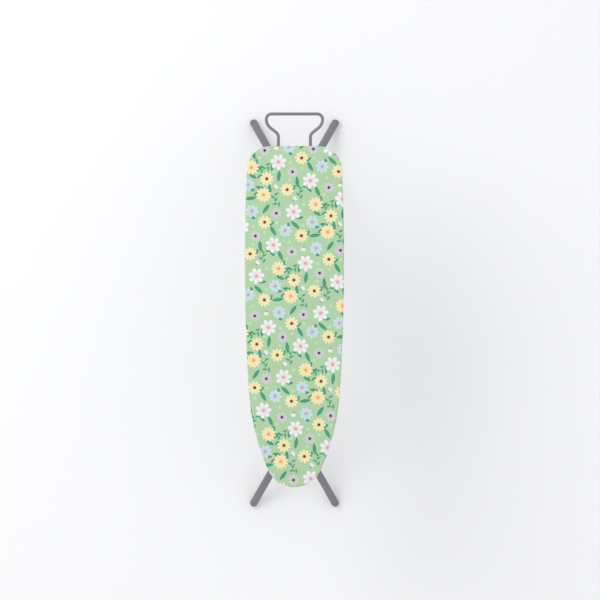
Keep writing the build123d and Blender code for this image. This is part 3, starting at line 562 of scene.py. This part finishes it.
def needledFelt():
    # needled polyester felt: off-white, matt, matted fibres in loose tufts
    material, tree = newMaterial("needledFelt")
    point = addNode(tree, "TexCoord", {}, out="Object")
    fibres = addNode(tree, "TexNoise", {"Vector": point, "Scale": 900.0, "Detail": 5.0, "Distortion": 1.5})
    tufts = addNode(tree, "TexNoise", {"Vector": point, "Scale": 120.0, "Detail": 3.0})
    tone = addNode(tree, "Mix", {
        "Factor": fibres, "A": linearColour("#BEB8AD"), "B": linearColour("#EFECE4")},
        out="Result", data_type="RGBA")
    height = addNode(tree, "Math", {0: tufts, 1: 0.6, 2: fibres}, operation="MULTIPLY_ADD")
    bump = addNode(tree, "Bump", {"Height": height, "Strength": 0.8, "Distance": 0.6 * mm})
    shader = addNode(tree, "BsdfPrincipled", {
        "Base Color": tone, "Roughness": 0.95, "Specular IOR Level": 0.15, "Sheen Weight": 0.25,
        "Normal": bump})
    addNode(tree, "OutputMaterial", {"Surface": shader})
    return material


def braidedElastic():
    # braided polyester elastic: white, with slanting ribs whose grooves are darkened and crests lightened:
    # painted shade and painted highlight
    material, tree = newMaterial("braidedElastic")
    along = addNode(tree, "UVMap", {}, uv_map="clothMillimetres")
    slant = addNode(tree, "Mapping", {
        "Vector": along, "Rotation": (0.0, 0.0, math.radians(45)), "Scale": (1 / mm, 1 / mm, 1.0)})
    ribHeightAndShade = addNode(tree, "TexWave", {"Vector": slant, "Scale": 0.5, "Distortion": 0.4}, out="Fac")
    # the tone follows the ribs' height: painted shade in the grooves, painted highlight on the crests
    tone = addNode(tree, "Mix", {
        "Factor": ribHeightAndShade, "A": linearColour("#CFCFCB"), "B": linearColour("#F0F0EC")},
        out="Result", data_type="RGBA")
    bump = addNode(tree, "Bump", {"Height": ribHeightAndShade, "Strength": 0.6, "Distance": 0.3 * mm})
    shader = addNode(tree, "BsdfPrincipled", {
        "Base Color": tone, "Roughness": 0.7, "Sheen Weight": 0.2, "Normal": bump})
    addNode(tree, "OutputMaterial", {"Surface": shader})
    return material


def sewingThread():
    # twisted polyester sewing thread: pale green with a slight sheen
    material, tree = newMaterial("polyesterSewingThread")
    point = addNode(tree, "TexCoord", {}, out="Object")
    twist = addNode(tree, "TexNoise", {"Vector": point, "Scale": 1500.0, "Detail": 1.0})
    tone = addNode(tree, "Mix", {
        "Factor": twist, "A": linearColour("#D3E3CC"), "B": linearColour("#F0F6EC")},
        out="Result", data_type="RGBA")
    shader = addNode(tree, "BsdfPrincipled", {"Base Color": tone, "Roughness": 0.55, "Sheen Weight": 0.2})
    addNode(tree, "OutputMaterial", {"Surface": shader})
    return material


cotton = printedCotton()
felt = needledFelt()
elastic = braidedElastic()
thread = sewingThread()
print("stage: printed cotton,", len(cotton.node_tree.nodes), "nodes; felt, elastic and thread")

# The cover: a sheet pulled over the pad, down round the rim tube and gathered underneath

coverMake = {
    "step": 5.5, "thickness": 0.7, "topRound": 6.5, "hemRound": 7.5, "hemReach": 28.0,
    "roundSteps": 8, "sideSteps": 4, "underSteps": 6,  # rows of the section, in each stretch of it
    "creaseRow": 5, "gatherRow": 17,  # where the side's creases and the hem's folds begin
    "channel": 4.2, "channelSteps": 12, "channelTurn": 0.93, "channelFlat": 0.8, "channelRound": 3.1,
    "gatherDepth": 4.2, "gatherLength": 12.5, "gatherOnset": 1.6, "foldSwing": 0.6, "foldSag": 0.55,
    "pucker": 1.3,
    "pleatLength": 17.0, "pleatDepth": 1.1, "pleatFade": 0.6,
    "ringsInside": 26, "parallelRings": 9, "blendInset": 66.0, "spineEnds": (92.0, 78.0),
    "ripple": 0.35, "edgeRipple": 0.3, "rippleRings": 4, "mergeGap": 0.4, "slimmestFace": 0.02,
}
foldWaves = ((0.5, 1.0, 0.4), (0.3, 1.7, 2.1), (0.2, 2.6, 4.0))  # share, how much finer, phase
foldDrift = ((0.8, 47.0, 1), (0.5, 19.0, 2))  # sway, length in millimetres, times the phase
topZ = highCover.z / mm
hemZ = lowCover.z / mm


def gather(along):
    # how far the hem's folds swing at a place along the outline: uneven waves, the same each time
    wave = 0.0
    for share, factor, phase in foldWaves:
        drift = sum(sway * math.sin(along / length + times * phase) for sway, length, times in foldDrift)
        wave += share * math.sin(2 * math.pi * along * factor / coverMake["gatherLength"] + phase + drift)
    return wave


def pleat(along):
    # shallow upright creases down the side, pulled in by the hem: 0 on a crest to 1 in a crease
    phase = 2 * math.pi * along / coverMake["pleatLength"] + 1.3 * math.sin(along / 61.0)  # uneven spacing
    strength = 0.55 + 0.45 * math.sin(along / 90.0 + 1.0)  # some stretches hardly crease
    return strength * (0.5 + 0.35 * math.sin(phase) + 0.15 * math.sin(1.9 * phase + 1.0))


def hemFall(swing):
    # the hem's folds hang down between the places where the elastic draws them up
    return coverMake["gatherDepth"] * (coverMake["foldSwing"] * swing - coverMake["foldSag"])


def softTop(x, y):
    # the pad's faint swell and slack across the flat top, in millimetres, never above the frame's own top
    swell = 0.5 * math.sin(x / 61.0 + 0.7) * math.sin(y / 83.0) + 0.5 * math.sin((x + 0.6 * y) / 47.0 + 1.9)
    return coverMake["ripple"] * (swell - 1.0)


def coverSection():
    # the cut through one edge as (inset, height), from the edge of the flat top round to the hem
    outer, top, low = coverMake["thickness"] / 2, coverMake["topRound"], coverMake["hemRound"]
    rows = []
    quarter = [math.pi / 2 * i / coverMake["roundSteps"] for i in range(coverMake["roundSteps"] + 1)]
    for a in quarter:
        rows.append((outer + top * (1 - math.sin(a)), topZ - outer - top * (1 - math.cos(a))))
    sideDrop = (topZ - hemZ) - 2 * outer - top - low
    for i in range(1, coverMake["sideSteps"]):
        rows.append((outer, topZ - outer - top - sideDrop * i / coverMake["sideSteps"]))
    for a in quarter:
        rows.append((outer + low * (1 - math.cos(a)), hemZ + outer + low * (1 - math.sin(a))))
    flat = coverMake["hemReach"] - outer - low
    for i in range(1, coverMake["underSteps"] + 1):
        rows.append((outer + low + flat * i / coverMake["underSteps"], hemZ + outer))
    return rows


def hemChannel(start):
    # the hem rolled back on itself round the elastic: a small open loop at the inner edge
    radius = coverMake["channel"] / 2
    rows = []
    for i in range(1, coverMake["channelSteps"] + 1):
        a = 2 * math.pi * i / coverMake["channelSteps"] * coverMake["channelTurn"]
        rows.append((start[0] + radius * math.sin(a),
                     start[1] + radius * (1 - math.cos(a)) * coverMake["channelFlat"]))
    return rows


section = coverSection()
hemInset, hemHeight = section[-1]
hemRow = len(section) - 1
section += hemChannel(section[-1])
runs = [0.0]  # the cloth's length from the flat top to each row
for (fromInset, fromZ), (toInset, toZ) in zip(section, section[1:]):
    runs.append(runs[-1] + math.hypot(toInset - fromInset, toZ - fromZ))

loop = outlinePoints(coverMake["step"])
along = [0.0]  # the way round the outline to each of its points
for ((fromX, fromY), _), ((toX, toY), _) in zip(loop, loop[1:] + loop[:1]):
    along.append(along[-1] + math.hypot(toX - fromX, toY - fromY))
lap = along.pop()
foldsRound = round(lap / coverMake["gatherLength"])
swings = [gather(way * foldsRound * coverMake["gatherLength"] / lap) for way in along]


def makeCover():
    bm = bmesh.new()
    flat = bm.loops.layers.uv.new("clothMillimetres")
    clothAt = {}
    rings = []
    firstInset = section[0][0]
    creaseRow, gatherRow = coverMake["creaseRow"], coverMake["gatherRow"]

    def place(x, y, z, clothX, clothY):
        vertex = bm.verts.new((x * mm, y * mm, z * mm))
        clothAt[vertex] = (clothX * mm, clothY * mm)
        return vertex

    # edge rings, from the top round to the hem
    for row, (inset, height) in enumerate(section):
        ring = []
        under = max(0.0, min(1.0, (runs[row] - runs[gatherRow]) / (runs[hemRow] - runs[gatherRow])))
        creased = min(1.0, max(0.0, (row - creaseRow) / (gatherRow - creaseRow)))
        creased *= (1 - coverMake["pleatFade"] * under) * coverMake["pleatDepth"]
        out = runs[row] - firstInset
        for ((px, py), (nx, ny)), way, swing in zip(loop, along, swings):
            tuck = inset + under * coverMake["pucker"] * swing + creased * pleat(way)
            x, y = px - nx * tuck, py - ny * tuck
            z = height + under ** coverMake["gatherOnset"] * hemFall(swing)
            if row == 0:
                z += softTop(x, y) * coverMake["edgeRipple"]
            ring.append(place(x, y, z, px + nx * out, py + ny * out))
        rings.append(ring)

    # the top, from the edge inwards: parallel rings first, then lines drawn to a spine down the middle
    inner = []
    total, parallel = coverMake["ringsInside"], coverMake["parallelRings"]
    blend = coverMake["blendInset"]
    spineLow, spineHigh = noseY + coverMake["spineEnds"][0], rearY - coverMake["spineEnds"][1]
    for step in range(1, total + 1):
        ring = []
        fade = min(1.0, step / coverMake["rippleRings"])
        slack = coverMake["edgeRipple"] + (1 - coverMake["edgeRipple"]) * fade
        for (px, py), (nx, ny) in loop:
            if step <= parallel:
                inset = firstInset + (blend - firstInset) * step / parallel
                x, y = px - nx * inset, py - ny * inset
            else:
                t = (step - parallel) / (total - parallel)
                ex, ey = px - nx * blend, py - ny * blend
                spineY = min(max(ey, spineLow), spineHigh)
                x, y = ex - ex * t, ey + (spineY - ey) * t
            z = topZ - coverMake["thickness"] / 2 + softTop(x, y) * slack
            ring.append(place(x, y, z, x, y))
        inner.append(ring)

    allRings = inner[::-1] + rings
    for upper, lower in zip(allRings, allRings[1:]):
        for k in range(len(loop)):
            n = (k + 1) % len(loop)
            bm.faces.new((upper[k], lower[k], lower[n], upper[n]))
    for face in bm.faces:
        for corner in face.loops:
            corner[flat].uv = clothAt[corner.vert]
    bmesh.ops.remove_doubles(bm, verts=inner[-1], dist=coverMake["mergeGap"] * mm)
    bmesh.ops.dissolve_degenerate(bm, edges=bm.edges, dist=coverMake["slimmestFace"] * mm)
    clothArea = sum(face.calc_area() for face in bm.faces)
    piece = pieceFrom(bm, "cottonCover", cotton)
    solid = piece.modifiers.new("clothThickness", "SOLIDIFY")
    solid.thickness = coverMake["thickness"] * mm
    solid.offset = 0.0
    solid.use_rim = True
    print("cover: cloth", round(clothArea, 3), "square metres, lap", round(lap), "mm")
    return piece, clothArea


cover, clothArea = makeCover()
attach(cover, "board")
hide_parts("cotton_cover")

# Elastic in the hem, and the row of stitches that closes its channel

hemMake = {
    "elasticRadius": 1.1, "elasticSides": 8, "elasticRise": 0.4,  # rise and inset in channel widths
    "stitchPitch": 4.6, "stitchLength": 3.4, "stitchRadius": 0.42, "stitchInset": 0.75,
    "stitchSink": 0.05, "stitchFall": 0.9,
}


def tubeAlong(points, radius, sides, name, material):
    # a closed loop of tube through the points, in millimetres
    bm = bmesh.new()
    flat = bm.loops.layers.uv.new("clothMillimetres")
    rings = []
    count = len(points)
    for k in range(count):
        here, after, before = points[k], points[(k + 1) % count], points[k - 1]
        forward = (after - before).normalized()
        side = forward.cross(Vector((0, 0, 1))).normalized()
        up = side.cross(forward)
        rings.append([bm.verts.new((here + radius * (math.cos(a) * side + math.sin(a) * up)) * mm)
                      for a in (2 * math.pi * s / sides for s in range(sides))])
    run = 0.0
    for k in range(count):
        n = (k + 1) % count
        length = (points[n] - points[k]).length
        for s in range(sides):
            t = (s + 1) % sides
            face = bm.faces.new((rings[k][s], rings[n][s], rings[n][t], rings[k][t]))
            spots = ((run, s), (run + length, s), (run + length, s + 1), (run, s + 1))
            for corner, (u, v) in zip(face.loops, spots):
                corner[flat].uv = (u * mm, v * 2 * math.pi * radius / sides * mm)
        run += length
    return pieceFrom(bm, name, material)


elasticZ = hemHeight + coverMake["channel"] * hemMake["elasticRise"]
stitchZ = hemHeight - coverMake["thickness"] / 2 - hemMake["stitchSink"]
elasticLine = []
stitchLine = []
for ((px, py), (nx, ny)), swing in zip(loop, swings):
    inset = hemInset + coverMake["pucker"] * swing
    elasticLine.append(Vector((px - nx * inset, py - ny * inset, elasticZ + hemFall(swing))))
    inset -= coverMake["channel"] * hemMake["stitchInset"]
    stitchDrop = hemFall(swing) * hemMake["stitchFall"]
    stitchLine.append(Vector((px - nx * inset, py - ny * inset, stitchZ + stitchDrop)))
elasticPiece = tubeAlong(elasticLine, hemMake["elasticRadius"], hemMake["elasticSides"],
                         "hemElastic", elastic)
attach(elasticPiece, "board")
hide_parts("hem_elastic")


def stitches(line, name):
    # lockstitch: short rounded dashes laid along the line
    bm = bmesh.new()
    radius = hemMake["stitchRadius"]
    size = Matrix.Diagonal((radius, radius, hemMake["stitchLength"] / 2, 1.0))
    carried = 0.0
    for a, b in zip(line, line[1:] + line[:1]):
        span = (b - a).length
        if span == 0:
            continue
        while carried < span:
            spot = a.lerp(b, carried / span)
            turn = (b - a).to_track_quat("Z", "Y").to_matrix().to_4x4()
            where = Matrix.Diagonal((mm, mm, mm, 1.0)) @ Matrix.Translation(spot) @ turn @ size
            bmesh.ops.create_icosphere(bm, subdivisions=1, radius=1.0, matrix=where)
            carried += hemMake["stitchPitch"]
        carried -= span
    return pieceFrom(bm, name, thread)


hemStitch = stitches(stitchLine, "hemStitching")
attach(hemStitch, "board")

# The felt pad: a slab with a soft rolled edge, seen through the mesh from below

padMake = {"step": 9.0, "inset": 1.4, "edgeRound": 5.5, "roundSteps": 6, "chamfer": (1.5, 1.0),
           "innerRings": (20.0, 60.0), "under": 0.05, "over": 0.5, "lump": 0.25, "lumpSize": (9.0, 11.0)}
padLow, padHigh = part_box("felt_pad")


def makePad():
    padLoop = outlinePoints(padMake["step"])
    floorZ, ceilingZ = padLow.z / mm + padMake["under"], padHigh.z / mm - padMake["over"]
    inset, edgeRound = padMake["inset"], padMake["edgeRound"]
    chamferIn, chamferUp = padMake["chamfer"]
    outerRing, innerRing = padMake["innerRings"]
    rows = [(innerRing, floorZ), (outerRing, floorZ), (inset + chamferIn, floorZ)]
    rows.append((inset, floorZ + chamferUp))
    undersideRows = len(rows)
    for i in range(1, padMake["roundSteps"] + 1):
        a = math.pi / 2 * i / padMake["roundSteps"]
        rows.append((inset + edgeRound * (1 - math.cos(a)), ceilingZ - edgeRound * (1 - math.sin(a))))
    rows += [(outerRing, ceilingZ), (innerRing, ceilingZ)]
    bm = bmesh.new()
    rings = []
    for row, (inwards, z) in enumerate(rows):
        lump = padMake["lump"] if row < undersideRows else 0.0
        ring = []
        for (px, py), (nx, ny) in padLoop:
            x, y = px - nx * inwards, py - ny * inwards
            rise = lump * math.sin(x / padMake["lumpSize"][0]) * math.sin(y / padMake["lumpSize"][1])
            ring.append(bm.verts.new((x * mm, y * mm, (z + max(0.0, rise)) * mm)))
        rings.append(ring)
    for lower, upper in zip(rings, rings[1:]):
        for k in range(len(padLoop)):
            n = (k + 1) % len(padLoop)
            bm.faces.new((lower[k], lower[n], upper[n], upper[k]))
    bm.faces.new(rings[0][::-1])
    bm.faces.new(rings[-1])
    return pieceFrom(bm, "feltPad", felt)


pad = makePad()
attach(pad, "board")
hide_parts("felt_pad")
print("stage: cover, elastic, stitches and pad")

# The deck: expanded steel mesh, slit and stretched into diamonds, welded to the rim tube

deckMake = {"longWay": 22.0, "shortWay": 10.0, "strandWidth": 1.7, "strandThickness": 1.0,
            "edgeInset": 10.5, "edgeStep": 6.0, "halfWidth": 170.0}
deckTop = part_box("steel_mesh_deck")[1].z / mm
deckEdge = [(px - nx * deckMake["edgeInset"], py - ny * deckMake["edgeInset"])
            for (px, py), (nx, ny) in outlinePoints(deckMake["edgeStep"])]


def halfWidthAt(y):
    # half the deck's width at a place along it; 0 past its ends
    best = 0.0
    for (ax, ay), (bx, by) in zip(deckEdge, deckEdge[1:] + deckEdge[:1]):
        if min(ay, by) <= y <= max(ay, by) and ay != by:
            t = (y - ay) / (by - ay)
            best = max(best, abs(ax + (bx - ax) * t))
    return best


def makeDeck():
    longWay, swing = deckMake["longWay"], deckMake["shortWay"] / 4
    lines = int(deckMake["halfWidth"] / (2 * swing)) * 2 + 1
    firstX = -(lines - 1) / 2 * 2 * swing
    bm = bmesh.new()
    zLow = deckTop - deckMake["strandThickness"]
    w = deckMake["strandWidth"] / 2
    steps = int((rearY - noseY) / (longWay / 2)) + 1
    limits = [halfWidthAt(noseY + k * longWay / 2) for k in range(steps + 1)]
    for line in range(lines):
        side = 1 if line % 2 else -1
        strand = []
        for k in range(steps + 2):
            x = firstX + line * 2 * swing + side * swing * (1 if k % 2 else -1)
            if k <= steps and abs(x) < limits[k]:
                y = noseY + k * longWay / 2
                strand.append([bm.verts.new(((x + dx) * mm, y * mm, z * mm))
                               for dx, z in ((-w, zLow), (w, zLow), (w, deckTop), (-w, deckTop))])
                continue
            if len(strand) > 1:
                for before, after in zip(strand, strand[1:]):
                    for s in range(4):
                        t = (s + 1) % 4
                        bm.faces.new((before[s], before[t], after[t], after[s]))
                bm.faces.new(strand[0])
                bm.faces.new(strand[-1][::-1])
            else:
                loose = [vertex for corners in strand for vertex in corners]
                bmesh.ops.delete(bm, geom=loose, context="VERTS")
            strand = []
    print("deck:", len(bm.faces), "faces")
    return pieceFrom(bm, "expandedMeshDeck", spangled, rounded=False)


deck = makeDeck()
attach(deck, "board")
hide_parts("steel_mesh_deck")
print("stage: deck")

# Weld beads where the leg tubes meet their stretchers and top tubes, under the same coat

weldMake = {"bead": 1.5, "ripplePitch": 2.6, "ripple": 0.22, "points": 72, "sides": 8, "legRadius": 12.5}
legFrames = {  # each leg's left tube, the way down it, its stretcher and its top tube
    "outer_leg": ("outer_leg_left", Vector((0, 0.8, -0.6)), "outer_leg_stretcher", "outer_leg_top_tube"),
    "inner_leg": ("inner_leg_left", Vector((0, -0.8, -0.6)), "inner_leg_stretcher", "inner_leg_top_tube"),
}


def beadAlong(points, name):
    # a bead of weld metal with the ripples that the torch leaves
    bm = bmesh.new()
    rings = []
    run = 0.0
    count, sides = len(points), weldMake["sides"]
    for k, here in enumerate(points):
        after, before = points[(k + 1) % count], points[k - 1]
        forward = (after - before).normalized()
        side = forward.orthogonal().normalized()
        up = side.cross(forward)
        swell = weldMake["ripple"] * math.sin(2 * math.pi * run / weldMake["ripplePitch"])
        radius = weldMake["bead"] + swell
        rings.append([bm.verts.new((here + radius * (math.cos(a) * side + math.sin(a) * up)) * mm)
                      for a in (2 * math.pi * s / sides for s in range(sides))])
        run += (after - here).length
    for k in range(count):
        lower, upper = rings[k], rings[(k + 1) % count]
        # the next ring may start at another angle, so it is turned to the closest match
        shift = min(range(sides), key=lambda s: (upper[s].co - lower[0].co).length)
        for s in range(sides):
            t = (s + 1) % sides
            bm.faces.new((lower[s], upper[(s + shift) % sides], upper[(t + shift) % sides], lower[t]))
    return pieceFrom(bm, name, legCoat)


def makeWelds():
    legRadius = weldMake["legRadius"]
    for body, (legNode, down, stretcherNode, topNode) in legFrames.items():
        across = down.cross(Vector((1, 0, 0)))
        lowBar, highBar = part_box(stretcherNode)
        lowTop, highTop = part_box(topNode)
        lowLeg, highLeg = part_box(legNode)
        barRadius = (highBar.z - lowBar.z) / mm / 2
        topRadius = (highTop.z - lowTop.z) / mm / 2
        barCentre = (lowBar + highBar) / 2 / mm
        topCentre = (lowTop + highTop) / 2 / mm
        spacing = min(abs(lowLeg.x), abs(highLeg.x)) / mm + legRadius
        for sideName, side in (("left", -1), ("right", 1)):
            barLine = []
            topLine = []
            for i in range(weldMake["points"]):
                a = 2 * math.pi * i / weldMake["points"]
                out = math.sqrt(legRadius ** 2 - (barRadius * math.sin(a)) ** 2)
                barLine.append(Vector((side * (spacing - out), barCentre.y, barCentre.z))
                               + barRadius * (math.cos(a) * down + math.sin(a) * across))
                v = legRadius * math.sin(a)
                reach = max(topRadius / 2, math.sqrt(max(0.0, topRadius ** 2 - v ** 2)))
                topLine.append(Vector((side * spacing + legRadius * math.cos(a), topCentre.y, topCentre.z))
                               + reach * down + v * across)
            for part, line in (("Stretcher", barLine), ("TopTube", topLine)):
                bead = beadAlong(line, body.split("_")[0] + part + "Weld" + sideName.capitalize())
                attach(bead, body)


makeWelds()
print("stage: welds")
